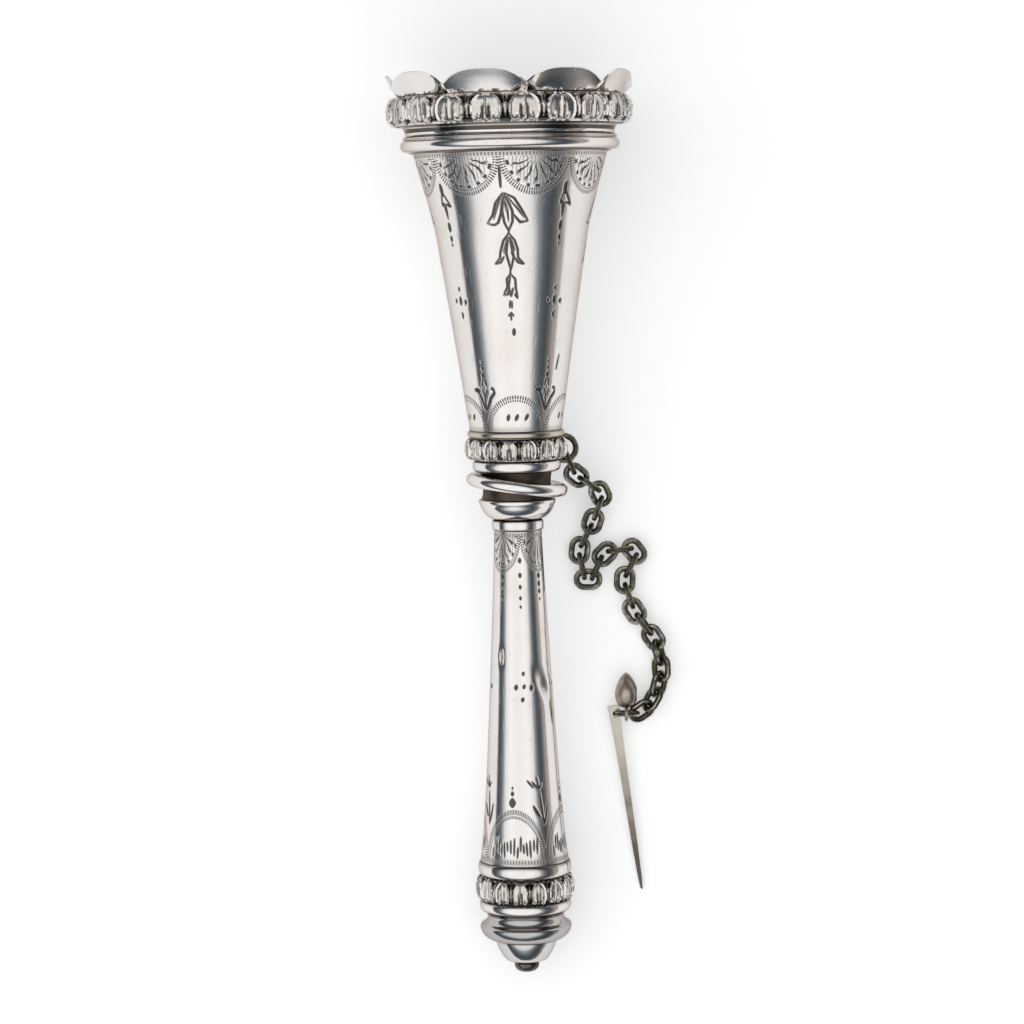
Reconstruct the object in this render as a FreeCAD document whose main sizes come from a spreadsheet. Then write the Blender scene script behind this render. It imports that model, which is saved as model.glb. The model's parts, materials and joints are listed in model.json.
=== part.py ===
import FreeCAD, Part
import math
import os

import Sketcher
from FreeCAD import Placement, Rotation, Vector

# A silver posy holder lying on its side: +Z is up from the surface it lies on, the mouth points
# towards +Y, and its chain and stem pin lie beside it on the +X side. Millimetres.
# Turned pieces are drawn as half sections: radius outwards, height along the holder's axis,
# with height 0 at the tip of the base knob.

DIMENSIONS = {
    # heights along the axis, from the knob's tip to the mouth
    "knob_top": 1.9, "cup_top": 5.6, "flange_edge": 8.0, "flange_top": 10.5,
    "foot_ring_top": 12.3, "foot_leaf_top": 16.3, "foot_bead_top": 18.8, "handle_flare": 31.4,
    "handle_top": 72.9, "neck_bead_top": 74.7, "knop_top": 78.1, "spool_top": 82.5,
    "collar_top": 84.5, "neck_leaf_top": 88.0, "cone_foot_top": 89.3, "cone_bend": 121.8,
    "moulding_foot": 133.7, "moulding_top": 138.1, "rim_leaf_top": 142.7, "petal_top": 146.4,
    # radii of the turned pieces
    "knob_radius": 2.0, "cup_foot_radius": 3.6, "cup_radius": 4.9, "flange_radius": 7.45,
    "foot_ring_radius": 7.5, "foot_leaf_radius": 8.2, "foot_bead_radius": 7.55,
    "handle_foot_radius": 7.15, "handle_waist_radius": 6.16, "handle_neck_radius": 3.85,
    "neck_bead_radius": 4.15, "knop_foot_radius": 4.0, "knop_radius": 6.2, "spool_radius": 5.8,
    "collar_radius": 7.15, "neck_leaf_radius": 8.4, "cone_foot_radius": 7.85,
    "cone_neck_radius": 7.4, "cone_bend_radius": 12.3, "cone_lip_radius": 15.6,
    "moulding_radius": 17.7, "mouth_radius": 16.9, "rim_leaf_radius": 19.85,
    "petal_radius": 19.3,
    # walls, bores and the rod that holds the stack together
    "wall": 0.5, "rod_radius": 1.4, "rod_play": 0.1, "rod_top": 93.0, "nut_height": 2.2,
    "washer_height": 0.6, "washer_radius": 3.2, "nut_radius": 2.9,
    # leaf work
    "rim_leaves": 20, "neck_leaves": 16, "foot_leaves": 16, "petals": 9, "leaf_gap": 0.55,
    "leaf_depth": 0.7, "petal_depth": 2.5, "first_petal_gap": 8,
    # the loose ring round the neck
    "ring_radius": 7.2, "ring_section": 1.08, "ring_tilt": 8, "ring_height": 80.3,
    # chain
    "link_length": 4.8, "link_width": 3.6, "wire": 1.0, "link_play": 0.1, "lug_radius": 2.0,
    "lug_reach": 10.2, "lug_height": 85.6, "lug_angle": 40, "jump_radius": 1.9,
    "jump_wire": 0.8,
    # stem pin and bud
    "pin_length": 31.0, "pin_head_width": 2.1, "pin_eye_width": 1.85, "pin_thickness": 0.8,
    "pin_tip_width": 0.4, "pin_eye_radius": 0.6, "pin_eye_inset": 1.35, "bud_length": 6.0,
    "bud_radius": 1.95, "bud_loop_radius": 0.95, "bud_loop_wire": 0.55, "bud_back": 1.65,
}

# How each chain link lies, from the holder to the pin: the way its long axis points, in degrees
# anticlockwise from +X seen from above, how far that axis dips, and how far the link is rolled
# about it from lying flat.
CHAIN = [
    (-68, 50, 90), (-43, 20, 0), (-34, 20, 90), (-69, 22, 0), (-110, 40, 90),
    (-113, 22, 0), (-118, 0, 90), (-101, 0, 0), (-79, 0, 90), (-5, 0, 0),
    (65, 0, 90), (39, 0, 0), (6, 0, 90), (-56, 0, 0), (-118, 0, 90),
    (-96, 0, 0), (-72, 0, 90), (-62, 0, 0), (-54, 0, 80), (-61, 0, -18),
    (-77, 0, 64), (-91, 0, -36), (-107, 0, 46), (-123, 0, -50), (-149, 0, 30),
]
LANDING = 6                 # the first link, counted from 0, that lies on the surface
HOLDER_OFFSET = 0.9         # how far the holder's axis stands to +X of the layout's centre line
HOLDER_KNOB_Y = -75.5       # where the knob's tip stands along Y, before the model is centred

document = FreeCAD.newDocument("posy_holder")
sheet = document.addObject("Spreadsheet::Sheet", "Dimensions")
for row, (alias, number) in enumerate(DIMENSIONS.items(), start=1):
    sheet.set("A%d" % row, alias)
    sheet.set("B%d" % row, str(number))
    sheet.setAlias("B%d" % row, alias)
document.recompute()


class Size:
    """A length that knows both its value and the sheet expression it comes from."""

    def __init__(self, value, text):
        self.value = float(value)
        self.text = text

    def __add__(self, other):
        other = as_size(other)
        return Size(self.value + other.value, "(%s + %s)" % (self.text, other.text))

    def __sub__(self, other):
        other = as_size(other)
        return Size(self.value - other.value, "(%s - %s)" % (self.text, other.text))

    def __mul__(self, factor):
        factor = as_size(factor)
        return Size(self.value * factor.value, "(%s * %s)" % (self.text, factor.text))

    def __truediv__(self, factor):
        factor = as_size(factor)
        return Size(self.value / factor.value, "(%s / %s)" % (self.text, factor.text))


def as_size(value):
    return value if isinstance(value, Size) else Size(value, repr(float(value)))


def size(alias):
    return Size(sheet.get(alias), "Dimensions." + alias)


def number(alias):
    return float(sheet.get(alias))


bore = size("rod_radius") + size("rod_play")
wall = size("wall")
pieces = {}


# ---------------------------------------------------------------- sketches and turned pieces

def origin_plane(body, role):
    return next(item for item in body.Origin.OriginFeatures if item.Role == role)


def new_sketch(body, name, role, offset=None):
    sketch = body.newObject("Sketcher::SketchObject", name)
    sketch.AttachmentSupport = [(origin_plane(body, role), "")]
    sketch.MapMode = "FlatFace"
    if offset is not None:
        sketch.AttachmentOffset = offset
    return sketch


def arc_between(start, end, bend):
    """The arc from start to end: bend is its radius, negative when it turns clockwise."""
    radius = abs(bend)
    chord = end - start
    half = chord.Length / 2
    left = Vector(-chord.y, chord.x, 0).normalize()
    rise = math.sqrt(radius * radius - half * half)
    centre = (start + end) / 2 + left * (rise if bend > 0 else -rise)
    first, last = (start, end) if bend > 0 else (end, start)
    first_angle = math.atan2(first.y - centre.y, first.x - centre.x)
    last_angle = math.atan2(last.y - centre.y, last.x - centre.x)
    if last_angle < first_angle:
        last_angle += 2 * math.pi
    return Part.ArcOfCircle(Part.Circle(centre, Vector(0, 0, 1), radius), first_angle, last_angle)


def bind(sketch, index, text):
    sketch.setExpression("Constraints[%d]" % index, text)


def closed_outline(sketch, outline):
    """Draw a closed outline of (x, y) or (x, y, bend) points, each bound to the sheet.

    bend belongs to the stretch that arrives at its point. Coordinates may be of either sign."""
    points = [(as_size(point[0]), as_size(point[1])) for point in outline]
    bends = [point[2] if len(point) > 2 else None for point in outline]
    flat = [Vector(x.value, y.value, 0) for x, y in points]
    count = len(points)
    starts, ends = [], []
    for index in range(count):
        start, end = flat[index - 1], flat[index]
        bend = bends[index]
        if bend is None:
            geometry = sketch.addGeometry(Part.LineSegment(start, end), False)
            turned_round = False
        else:
            bend = as_size(bend)
            geometry = sketch.addGeometry(arc_between(start, end, bend.value), False)
            turned_round = bend.value < 0
        starts.append((geometry, 2 if turned_round else 1))
        ends.append((geometry, 1 if turned_round else 2))
    for index in range(count):
        following = starts[(index + 1) % count]
        sketch.addConstraint(Sketcher.Constraint("Coincident", *ends[index], *following))
    for (x, y), (geometry, vertex) in zip(points, ends):
        for kind, line, length in (("DistanceX", -2, x), ("DistanceY", -1, y)):
            if length.value == 0:
                sketch.addConstraint(Sketcher.Constraint("PointOnObject", geometry, vertex, line))
                continue
            index = sketch.addConstraint(
                Sketcher.Constraint(kind, -1, 1, geometry, vertex, length.value))
            bind(sketch, index, length.text)
    for index, bend in enumerate(bends):
        if bend is None:
            continue
        bend = as_size(bend)
        magnitude = bend if bend.value > 0 else bend * -1
        constraint = Sketcher.Constraint("Radius", ends[index][0], magnitude.value)
        bind(sketch, sketch.addConstraint(constraint), magnitude.text)


def new_body(label):
    body = document.addObject("PartDesign::Body", label)
    body.Label = label
    return body


def turned(label, outline):
    """A piece turned about the holder's axis from its half section."""
    body = new_body(label)
    sketch = new_sketch(body, label + "_section", "XZ_Plane")
    closed_outline(sketch, outline)
    turn = body.newObject("PartDesign::Revolution", label + "_turn")
    turn.Profile = sketch
    turn.ReferenceAxis = (sketch, ["V_Axis"])
    turn.Angle = 360
    sketch.Visibility = False
    pieces[label] = body
    return body


def bead_section(foot, top, radius, inner, corner):
    """A rounded moulding: a half round between two short shoulders."""
    return [(inner, foot), (radius - corner, foot), (radius - corner, top, (top - foot) * 0.62),
            (inner, top)]


def radial_cut(body, name, outline, distance, angle):
    """Cut outwards from a plane that stands square to the radius at the given angle."""
    spin = Rotation(Vector(0, 1, 0), angle)
    offset = Placement(spin.multVec(Vector(0, 0, distance.value)), spin)
    sketch = new_sketch(body, name + "_outline", "YZ_Plane", offset)
    closed_outline(sketch, outline)
    document.recompute()
    before = body.Shape.Volume
    cut = body.newObject("PartDesign::Pocket", name)
    cut.Profile = sketch
    cut.Type = "Length"
    cut.Length = 12
    cut.Reversed = True
    sketch.Visibility = False
    document.recompute()
    if body.Shape.Volume >= before:
        raise RuntimeError(name + " cuts nothing")
    return cut


def round_the_axis(body, name, cuts, count):
    pattern = body.newObject("PartDesign::PolarPattern", name)
    pattern.Originals = cuts
    pattern.Axis = (origin_plane(body, "Z_Axis"), [""])
    pattern.Angle = 360
    pattern.setExpression("Occurrences", count.text)
    body.Tip = pattern
    return pattern


def leaf_band(label, foot, top, radius, inner, leaves):
    """A cast band of leaves: a barrel with one flat to each leaf and a slit between leaves."""
    height = top - foot
    barrel = height * 0.72
    body = turned(label, [(inner, foot), (radius - height * 0.16, foot),
                          (radius - height * 0.16, top, barrel), (inner, top)])
    step = 360 / leaves.value
    flat = Size(radius.value * math.cos(math.pi / leaves.value),
                "(%s * cos(180 / %s))" % (radius.text, leaves.text))
    reach = radius * 0.5
    facet = [(reach * -1, foot - 1), (reach, foot - 1), (reach, top + 1), (reach * -1, top + 1)]
    gap = size("leaf_gap") / 2
    margin = height * 0.14
    slit = [(gap * -0.5, foot + margin), (gap * 0.5, foot + margin), (gap, top - margin),
            (gap * -1, top - margin)]
    cuts = [radial_cut(body, label + "_flat", facet, flat, 0),
            radial_cut(body, label + "_slit", slit, flat - size("leaf_depth"), step / 2)]
    round_the_axis(body, label + "_leaves", cuts, leaves)
    return flat


# ---------------------------------------------------------------- base, handle and neck

turned("finial_knob", [
    (0, 0), (size("knob_radius"), size("knob_top"), size("knob_radius") * 1.01),
    (bore, size("knob_top")), (bore, size("knob_top") * 0.6), (0, size("knob_top") * 0.6)])

turned("base_cup", [
    (bore, size("knob_top")), (size("cup_foot_radius"), size("knob_top")),
    (size("cup_radius") * 0.8, size("knob_top") + 1.6, size("cup_radius") * 0.6),
    (size("cup_radius"), size("cup_top"), size("cup_radius") * -0.9), (bore, size("cup_top"))])

turned("base_flange", [
    (bore, size("cup_top")), (size("cup_radius") * 1.04, size("cup_top")),
    (size("flange_radius") * 0.97, size("flange_edge") - 0.8),
    (size("flange_radius"), size("flange_edge") + 0.1, size("flange_radius") * 0.1),
    (size("flange_radius") * 0.93, size("flange_top"), size("flange_radius") * -0.26),
    (bore, size("flange_top"))])

turned("base_ring", bead_section(
    size("flange_top"), size("foot_ring_top"), size("foot_ring_radius"), bore, 0.35))

foot_flat = leaf_band("base_leaf_band", size("foot_ring_top"), size("foot_leaf_top"),
                      size("foot_leaf_radius"), bore, size("foot_leaves"))

turned("base_bead_ring", bead_section(
    size("foot_leaf_top"), size("foot_bead_top"), size("foot_bead_radius"), bore, 0.5))

turned("handle_tube", [
    (size("handle_foot_radius") - wall * 1.4, size("foot_bead_top")),
    (size("handle_foot_radius"), size("foot_bead_top")),
    (size("handle_waist_radius"), size("handle_flare"), size("handle_flare") * -3),
    (size("handle_neck_radius"), size("handle_top"), size("handle_top") * -20),
    (size("handle_neck_radius") - wall * 1.4, size("handle_top")),
    (size("handle_waist_radius") - wall * 1.4, size("handle_flare"), size("handle_top") * 20)])

turned("neck_bead", bead_section(
    size("handle_top"), size("neck_bead_top"), size("neck_bead_radius"), bore, 0.35))

turned("knop_cup", [
    (bore, size("neck_bead_top")), (size("knop_foot_radius"), size("neck_bead_top")),
    (size("knop_radius"), size("knop_top") - 0.5, size("knop_radius") * 0.75),
    (size("knop_radius"), size("knop_top")), (bore, size("knop_top"))])

turned("neck_spool", [
    (bore, size("knop_top")), (size("spool_radius"), size("knop_top")),
    (size("spool_radius"), size("spool_top")), (bore, size("spool_top"))])

turned("neck_collar", bead_section(
    size("spool_top"), size("collar_top"), size("collar_radius"), bore, 0.45))

leaf_band("neck_leaf_band", size("collar_top"), size("neck_leaf_top"),
          size("neck_leaf_radius"), bore, size("neck_leaves"))

turned("cone_foot_ring", [
    (bore, size("neck_leaf_top")), (size("cone_foot_radius"), size("neck_leaf_top")),
    (size("cone_foot_radius"), size("neck_leaf_top") + 0.55),
    (size("cone_foot_radius") - 0.2, size("neck_leaf_top") + 0.65),
    (size("cone_foot_radius"), size("neck_leaf_top") + 0.75),
    (size("cone_foot_radius"), size("cone_foot_top")), (bore, size("cone_foot_top"))])


# ---------------------------------------------------------------- cone and mouth

mouth_wall = size("mouth_radius") + wall
turned("cone", [
    (size("cone_neck_radius") - wall, size("cone_foot_top")),
    (size("cone_neck_radius"), size("cone_foot_top")),
    (size("cone_bend_radius"), size("cone_bend"), size("cone_bend") * -4),
    (size("cone_lip_radius"), size("moulding_foot"), size("cone_bend") * -1.4),
    (mouth_wall, size("moulding_top") + 0.6), (mouth_wall, size("rim_leaf_top")),
    (size("mouth_radius"), size("rim_leaf_top")),
    (size("mouth_radius"), size("moulding_top") + 0.8),
    (size("cone_lip_radius") - wall, size("moulding_foot")),
    (size("cone_bend_radius") - wall, size("cone_bend"), size("cone_bend") * 1.4)])

turned("cone_floor", [
    (bore, size("cone_foot_top")), (size("cone_neck_radius") - wall, size("cone_foot_top")),
    (size("cone_neck_radius") - wall, size("cone_foot_top") + wall * 1.6),
    (bore, size("cone_foot_top") + wall * 1.6)])

# The moulding and the leaf band stand a hair off the cone, whose line they follow.
hair = size("wall") * 0.1
moulding_height = size("moulding_top") - size("moulding_foot")
moulding_share = moulding_height / (moulding_height + 0.6)
turned("rim_moulding", [
    (size("cone_lip_radius") + hair, size("moulding_foot")),
    (size("moulding_radius") - 0.7, size("moulding_foot")),
    (size("moulding_radius") - 0.7, size("moulding_foot") + 2.2, 1.25),
    (size("moulding_radius") - 0.1, size("moulding_top"), -3.4),
    (size("cone_lip_radius") + (mouth_wall - size("cone_lip_radius")) * moulding_share + hair,
     size("moulding_top"))])

rim_flat = leaf_band("rim_leaf_band", size("moulding_top"), size("rim_leaf_top"),
                     size("rim_leaf_radius"), mouth_wall + hair, size("rim_leaves"))


def rim_petals():
    """The thin scalloped frill that stands out of the leaf band: a flared collar with rounded
    gaps cut between its petals."""
    foot = size("rim_leaf_top")
    top = size("petal_top")
    radius = size("petal_radius")
    body = turned("rim_petals", [
        (size("mouth_radius") + 0.4, foot), (mouth_wall + 0.7, foot),
        (radius, top, size("petal_top") * -0.06), (radius - wall * 0.8, top)])
    half = Size(radius.value * math.sin(math.pi / number("petals")),
                "(%s * sin(180 / Dimensions.petals))" % radius.text)
    depth = size("petal_depth")
    arc = (half * half + depth * depth) / (depth * 2)
    gap = [(0, top - depth, arc * -1), (half, top, arc * -1), (half, top + 2),
           (half * -1, top + 2), (half * -1, top)]
    first = number("first_petal_gap") - 90
    cut = radial_cut(body, "petal_gap", gap, radius * 0.5, first)
    round_the_axis(body, "petal_gaps", [cut], size("petals"))


rim_petals()


# ---------------------------------------------------------------- the rod inside

turned("tie_rod", [
    (0, size("knob_top") * 0.6), (size("rod_radius"), size("knob_top") * 0.6),
    (size("rod_radius"), size("rod_top")), (0, size("rod_top"))])

washer_foot = size("cone_foot_top") + wall * 1.6
nut_foot = washer_foot + size("washer_height")
turned("rod_washer", [
    (bore, washer_foot), (size("washer_radius"), washer_foot),
    (size("washer_radius"), nut_foot), (bore, nut_foot)])


def rod_nut():
    body = new_body("rod_nut")
    offset = Placement(Vector(0, 0, nut_foot.value), Rotation())
    sketch = new_sketch(body, "rod_nut_outline", "XY_Plane", offset)
    corner = size("nut_radius")
    points = []
    for turn in range(6):
        cosine = Size(math.cos(math.radians(60 * turn)), "cos(%d)" % (60 * turn))
        sine = Size(math.sin(math.radians(60 * turn)), "sin(%d)" % (60 * turn))
        x, y = corner * cosine, corner * sine
        points.append((x, 0 if turn % 3 == 0 else y))
    closed_outline(sketch, points)
    circle = sketch.addGeometry(Part.Circle(Vector(), Vector(0, 0, 1), bore.value), False)
    sketch.addConstraint(Sketcher.Constraint("Coincident", circle, 3, -1, 1))
    bind(sketch, sketch.addConstraint(Sketcher.Constraint("Radius", circle, bore.value)),
         bore.text)
    pad = body.newObject("PartDesign::Pad", "rod_nut_pad")
    pad.Profile = sketch
    pad.setExpression("Length", "Dimensions.nut_height")
    sketch.Visibility = False
    pieces["rod_nut"] = body


rod_nut()
holder = list(pieces)


# ---------------------------------------------------------------- how the holder lies

def contact_height(foot, top, radius, flat):
    """Where a leaf's flat ends, at its lower side: the edge that rests on the surface."""
    height = top.value - foot.value
    barrel = height * 0.72
    return (foot.value + top.value) / 2 - math.sqrt(barrel ** 2 - (barrel - radius + flat) ** 2)


rim_contact = contact_height(size("moulding_top"), size("rim_leaf_top"),
                             number("rim_leaf_radius"), rim_flat.value)
foot_contact = contact_height(size("foot_ring_top"), size("foot_leaf_top"),
                              number("foot_leaf_radius"), foot_flat.value)
lean = math.atan2(rim_flat.value - foot_flat.value, rim_contact - foot_contact)
knob_z = rim_flat.value * math.cos(lean) - rim_contact * math.sin(lean)
holder_axis = Vector(0, math.cos(lean), math.sin(lean))
laid = Placement(Vector(HOLDER_OFFSET, HOLDER_KNOB_Y, knob_z),
                 Rotation(Vector(1, 0, 0), Vector(0, math.sin(lean), -math.cos(lean)),
                          holder_axis, "ZXY"))


def on_axis(height):
    return laid.multVec(Vector(0, 0, height))


def frame(centre, along, normal):
    """A placement whose X runs along a piece and whose Z is the normal of its plane."""
    across = normal.cross(along)
    return Placement(centre, Rotation(along, across, normal, "XZY"))


# ---------------------------------------------------------------- rings

def ring(label, radius, section, placement):
    torus = document.addObject("Part::Torus", label)
    torus.Label = label
    torus.setExpression("Radius1", radius.text)
    torus.setExpression("Radius2", section.text)
    torus.Placement = placement
    pieces[label] = torus
    return torus


ring_tilt = math.radians(number("ring_tilt"))
ring_centre = on_axis(number("ring_height"))
ring_across = Vector(math.cos(ring_tilt), 0, 0) - holder_axis * math.sin(ring_tilt)
ring_axis = holder_axis * math.cos(ring_tilt) + Vector(math.sin(ring_tilt), 0, 0)
ring("loose_ring", size("ring_radius"), size("ring_section"),
     frame(ring_centre, ring_across, ring_axis))

lug_turn = math.radians(number("lug_angle"))
down_square = Vector(0, math.sin(lean), -math.cos(lean))
lug_radial = Vector(1, 0, 0) * math.cos(lug_turn) + down_square * math.sin(lug_turn)
lug_normal = Vector(math.sin(math.radians(8)), 0, math.cos(math.radians(8)))
lug_centre = on_axis(number("lug_height")) + lug_radial * number("lug_reach")
ring("chain_lug", size("lug_radius"), size("wire") / 2,
     frame(lug_centre, Vector(0, -1, 0), lug_normal))


# ---------------------------------------------------------------- chain

wire = number("wire")
bow_offset = (number("link_length") - number("link_width")) / 2
bow_radius = (number("link_width") - wire) / 2
bow_gap = 2 * bow_radius - wire - number("link_play")


def link_axes(heading, dip, roll):
    """Unit vectors along a link and square to its plane."""
    turn = math.radians(heading)
    fall = math.radians(dip)
    along = Vector(math.cos(turn) * math.cos(fall), math.sin(turn) * math.cos(fall),
                   -math.sin(fall))
    level = Vector(-math.sin(turn), math.cos(turn), 0)
    up = along.cross(level)
    tip = math.radians(roll)
    return along, up * math.cos(tip) + level * math.sin(tip)


def shared_line(first_normal, second_normal, along):
    line = first_normal.cross(second_normal).normalize()
    return line if line.dot(along) > 0 else line * -1


def walk_chain(slope):
    """Every link's centre, axes and the pivot that it turns on, worked out from link to link.

    Two linked wires touch along the line where the links' planes meet. Each link turns about
    the centre of the bow that holds it, square to that bow's plane. slope scales the dips."""
    walked = []
    pivot = None
    normal_before = lug_normal
    for heading, dip, roll in CHAIN:
        along, normal = link_axes(heading, dip * slope, roll)
        line = shared_line(normal_before, normal, along)
        if pivot is None:
            pivot = lug_centre + line * (number("lug_radius") - bow_radius)
        centre = pivot + line * bow_gap + along * bow_offset
        walked.append({"centre": centre, "along": along, "normal": normal, "pivot": pivot,
                       "axis": normal_before})
        pivot = centre + along * bow_offset
        normal_before = normal
    return walked, pivot, normal_before


def land_chain():
    """The slope at which the chain comes down just onto the surface, and its links."""
    resting = bow_radius + wire / 2
    gentle, steep = 0.5, 1.6
    for _ in range(50):
        slope = (gentle + steep) / 2
        if walk_chain(slope)[0][LANDING]["centre"].z > resting:
            gentle = slope
        else:
            steep = slope
    print("the chain comes down at %.3f of its dips" % slope)
    return walk_chain(slope)


def stadium(sketch):
    """The line along the middle of a link's wire: two bows joined by two straight sides."""
    half = (size("link_length") - size("link_width")) / 2
    bow = (size("link_width") - size("wire")) / 2
    almost = bow * 1.0000001
    closed_outline(sketch, [(half, bow * -1), (half, bow, almost), (half * -1, bow),
                            (half * -1, bow * -1, almost)])


def chain_link(label, placement):
    body = new_body(label)
    path = new_sketch(body, label + "_path", "XY_Plane")
    stadium(path)
    section = new_sketch(body, label + "_wire", "YZ_Plane")
    bow = (size("link_width") - size("wire")) / 2
    thickness = size("wire") / 2
    circle = section.addGeometry(
        Part.Circle(Vector(bow.value, 0, 0), Vector(0, 0, 1), thickness.value), False)
    section.addConstraint(Sketcher.Constraint("PointOnObject", circle, 3, -1))
    bind(section, section.addConstraint(
        Sketcher.Constraint("DistanceX", -1, 1, circle, 3, bow.value)), bow.text)
    bind(section, section.addConstraint(
        Sketcher.Constraint("Radius", circle, thickness.value)), thickness.text)
    pipe = body.newObject("PartDesign::AdditivePipe", label + "_bend")
    pipe.Profile = section
    pipe.Spine = path
    path.Visibility = False
    section.Visibility = False
    body.Placement = placement
    pieces[label] = body


links, jump_pivot, last_normal = land_chain()
for index, link in enumerate(links, start=1):
    chain_link("chain_link_%02d" % index, frame(link["centre"], link["along"], link["normal"]))


# ---------------------------------------------------------------- jump ring, pin and bud

jump_along = Vector(-1, 0, 0)
jump_normal = Vector(0, 1, 0)
jump_reach = (bow_radius - wire / 2 - number("link_play") - number("jump_wire") / 2
              + number("jump_radius"))
jump_centre = jump_pivot + shared_line(last_normal, jump_normal, jump_along) * jump_reach
jump_centre.z = number("jump_radius") + number("jump_wire") / 2
ring("jump_ring", size("jump_radius"), size("jump_wire") / 2,
     frame(jump_centre, jump_along, jump_normal))

pin_eye = jump_centre + jump_along * number("jump_radius")
pin_run = number("pin_length") - number("pin_eye_inset")
pin_fall = math.asin((pin_eye.z - number("pin_thickness") / 2) / pin_run)
pin_heading = math.radians(-82.4)
pin_along = Vector(math.cos(pin_heading) * math.cos(pin_fall),
                   math.sin(pin_heading) * math.cos(pin_fall), -math.sin(pin_fall))
pin_across = Vector(math.sin(pin_heading), -math.cos(pin_heading), 0)
pin_normal = pin_along.cross(pin_across).normalize()
if pin_normal.z < 0:
    pin_normal = pin_normal * -1


def stem_pin():
    """A flat tapering pin with a squared head and a round eye, drawn with its eye at X = 0."""
    body = new_body("stem_pin")
    half_down = Placement(Vector(0, 0, -number("pin_thickness") / 2), Rotation())
    sketch = new_sketch(body, "stem_pin_outline", "XY_Plane", half_down)
    back = size("pin_eye_inset") * -1
    head = size("pin_head_width") / 2
    eye = size("pin_eye_width") / 2
    tip = size("pin_tip_width") / 2
    reach = size("pin_length") - size("pin_eye_inset")
    shoulder = size("pin_length") * 0.32
    closed_outline(sketch, [
        (back, head * -1), (0, eye * -1), (shoulder, eye * -0.68), (reach, tip * -1),
        (reach, tip, tip * 1.01), (shoulder, eye * 0.68), (0, eye), (back, head)])
    circle = sketch.addGeometry(
        Part.Circle(Vector(), Vector(0, 0, 1), number("pin_eye_radius")), False)
    sketch.addConstraint(Sketcher.Constraint("Coincident", circle, 3, -1, 1))
    bind(sketch, sketch.addConstraint(
        Sketcher.Constraint("Radius", circle, number("pin_eye_radius"))),
        "Dimensions.pin_eye_radius")
    pad = body.newObject("PartDesign::Pad", "stem_pin_pad")
    pad.Profile = sketch
    pad.setExpression("Length", "Dimensions.pin_thickness")
    sketch.Visibility = False
    body.Placement = frame(pin_eye, pin_along, pin_normal)
    pieces["stem_pin"] = body


stem_pin()

bud_dip = math.radians(16)
bud_heading = math.radians(88.4)
bud_along = Vector(math.cos(bud_heading) * math.cos(bud_dip),
                   math.sin(bud_heading) * math.cos(bud_dip), -math.sin(bud_dip))
bud_pivot = jump_centre + Vector(0, 0, number("jump_radius"))
bud_drop_in_loop = 0.15


# The bud's half section from its foot to its tip, as shares of its radius and its length.
BUD_SHAPE = [(0.30, 0.0), (0.62, 0.06), (0.86, 0.16), (0.98, 0.29), (1.0, 0.40), (0.94, 0.53),
             (0.80, 0.66), (0.58, 0.79), (0.32, 0.90), (0.12, 0.97)]


def bud_drop():
    """An almond-shaped bud with one flattened side, on a small wire loop.

    It is drawn with the loop's centre at the origin and its tip along +Z."""
    body = new_body("bud_drop")
    sketch = new_sketch(body, "bud_section", "XZ_Plane")
    foot = size("bud_loop_radius") * 1.15
    tip = foot + size("bud_length")
    radius = size("bud_radius")
    outline = [(0, foot)]
    for wide, high in BUD_SHAPE:
        outline.append((radius * wide, foot + size("bud_length") * high))
    closed_outline(sketch, outline + [(0, tip)])
    turn = body.newObject("PartDesign::Revolution", "bud_turn")
    turn.Profile = sketch
    turn.ReferenceAxis = (sketch, ["V_Axis"])
    turn.Angle = 360
    back = new_sketch(body, "bud_back_outline", "YZ_Plane",
                      Placement(Vector(0, 0, number("bud_back")), Rotation()))
    wide = radius * 1.3
    closed_outline(back, [(wide * -1, foot - 0.5), (wide, foot - 0.5), (wide, tip + 0.5),
                          (wide * -1, tip + 0.5)])
    document.recompute()
    before = body.Shape.Volume
    cut = body.newObject("PartDesign::Pocket", "bud_back_cut")
    cut.Profile = back
    cut.Type = "Length"
    cut.Length = 5
    cut.Reversed = True
    document.recompute()
    if body.Shape.Volume >= before:
        raise RuntimeError("the bud's back cuts nothing")
    loop = body.newObject("PartDesign::AdditiveTorus", "bud_loop")
    loop.AttachmentSupport = [(origin_plane(body, "YZ_Plane"), "")]
    loop.MapMode = "FlatFace"
    loop.setExpression("Radius1", "Dimensions.bud_loop_radius")
    loop.setExpression("Radius2", "Dimensions.bud_loop_wire / 2")
    sketch.Visibility = False
    back.Visibility = False
    side = Vector(1, 0, 0) - bud_along * bud_along.x
    side.normalize()
    body.Placement = Placement(bud_pivot - Vector(0, 0, bud_drop_in_loop),
                               Rotation(side, bud_along.cross(side), bud_along, "ZXY"))
    pieces["bud_drop"] = body


bud_drop()


# ---------------------------------------------------------------- centre, test and write

for label in holder:
    pieces[label].Placement = laid
document.recompute()
whole = Part.makeCompound([piece.Shape for piece in pieces.values()]).optimalBoundingBox(False)
centring = Vector(-whole.Center.x, -whole.Center.y, -whole.ZMin)
for piece in pieces.values():
    piece.Placement = Placement(piece.Placement.Base + centring, piece.Placement.Rotation)
document.recompute()

for item in document.Objects:
    if "Invalid" in item.State or "Error" in item.State:
        raise RuntimeError("%s failed: %s" % (item.Name, item.State))
for label, piece in pieces.items():
    if piece.Shape.isNull() or not piece.Shape.isValid() or not piece.Shape.Solids:
        raise RuntimeError(label + " has no valid shape")

os.makedirs("parts", exist_ok=True)
for label, piece in pieces.items():
    piece.Shape.exportStep("parts/%s.step" % label)
print("%d pieces, %.1f x %.1f x %.1f mm, lean %.2f degrees, lowest point %.3f"
      % (len(pieces), whole.XLength, whole.YLength, whole.ZLength, math.degrees(lean),
         whole.ZMin))
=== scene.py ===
"""A silver posy holder with its neck ring, chain, bud drop and stem pin on a pale floor."""

import json
import math

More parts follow.
